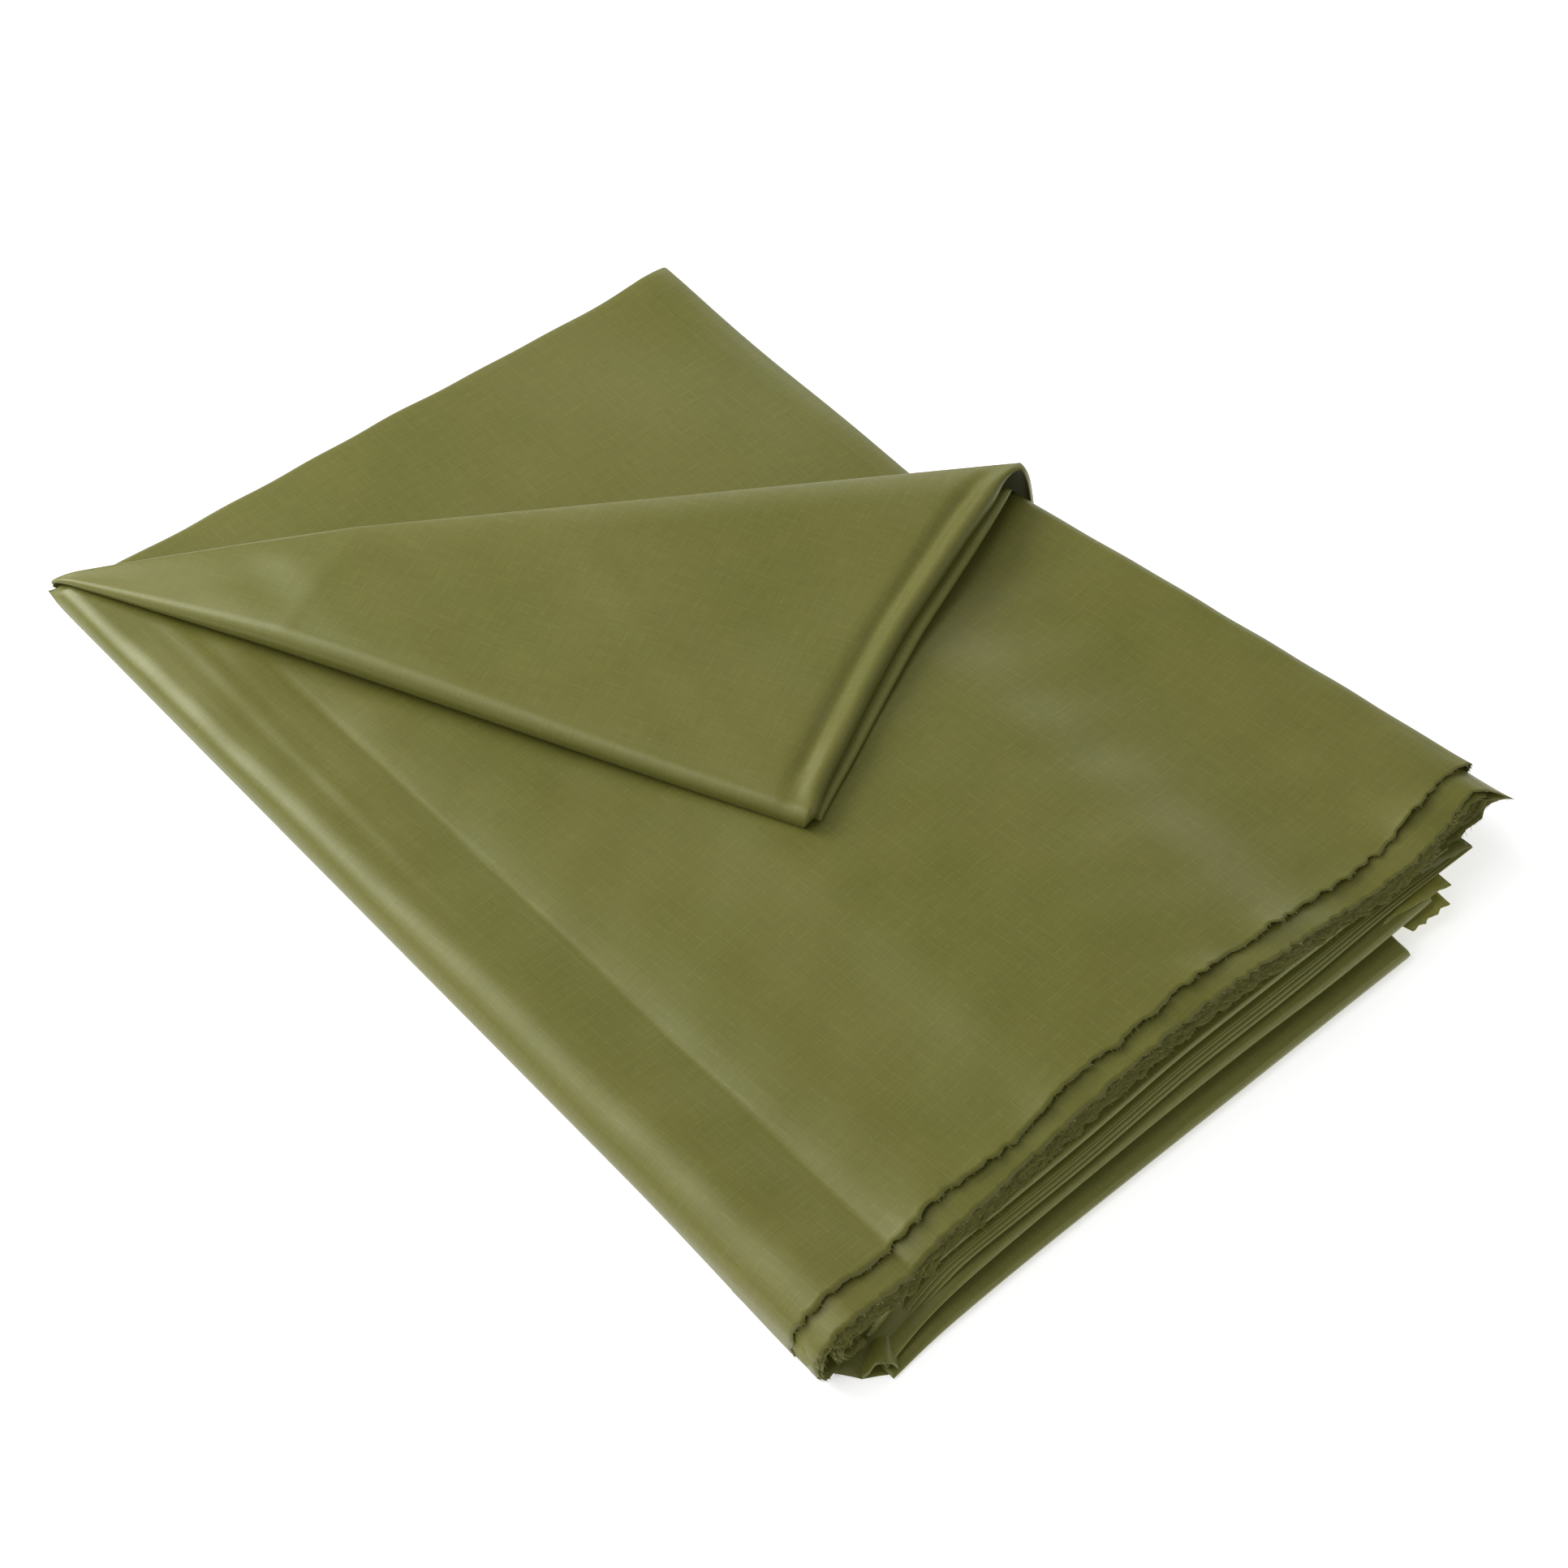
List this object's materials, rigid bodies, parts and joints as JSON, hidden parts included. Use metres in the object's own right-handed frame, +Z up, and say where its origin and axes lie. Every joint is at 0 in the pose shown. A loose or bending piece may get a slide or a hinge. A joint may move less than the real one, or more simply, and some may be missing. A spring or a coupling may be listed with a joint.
{
  "type": "folded bivy sack",
  "caption": "Folded ripstop fabric sack: a flat many-ply pack with one corner turned back, a folded spine along one side and raw layered edges at the open end.",
  "frame": {"origin": "centre of the footprint, at floor level", "axes": "+X along the folded spine towards the open end, spine on the -Y side, +Z up"},
  "size_m": [0.403, 0.288, 0.0408],
  "materials": {
    "ripstop_face": "silky olive ripstop, coated, soft sheen",
    "folded_ply": "silky olive ripstop, folded plies",
    "raw_edge": "frayed raw edge of olive ripstop"
  },
  "bodies": {
    "lower_packet": {"base_outer_ply": "ripstop_face", "base_inner_ply": "ripstop_face", "bottom_fold": "folded_ply", "second_fold": "folded_ply", "cover_ply": "ripstop_face", "near_corner_pocket": "ripstop_face", "second_fold_raw_corner": "raw_edge", "bottom_fold_raw_corner": "raw_edge"},
    "upper_packet": {"nested_fold_lower": "folded_ply", "nested_fold_middle": "folded_ply", "nested_fold_upper": "folded_ply", "nested_raw_corner": "raw_edge", "mouth_lower_lip": "raw_edge", "mouth_upper_lip": "raw_edge", "mouth_near_roll": "raw_edge", "mouth_far_roll": "raw_edge", "second_ply": "ripstop_face", "second_ply_corner": "ripstop_face", "outer_ply": "ripstop_face"},
    "corner_flap": {"flap_lining": "ripstop_face", "flap_lower_leaf": "folded_ply", "flap_upper_leaf": "folded_ply", "flap_cover": "ripstop_face", "flap_edge_roll": "ripstop_face", "flap_corner_pocket": "ripstop_face"}
  },
  "joints": [
    {"name": "spine_fold", "type": "hinge", "parent": "lower_packet", "child": "upper_packet", "pos_m": [0, -0.144, 0.00926], "axis": [0.9999, 0, 0.0159], "range_deg": [0, 70]},
    {"name": "corner_fold", "type": "hinge", "parent": "upper_packet", "child": "corner_flap", "pos_m": [-0.2015, -0.142, 0.01215], "axis": [-0.5972, -0.8004, -0.0519], "range_deg": [0, 135]}
  ]
}
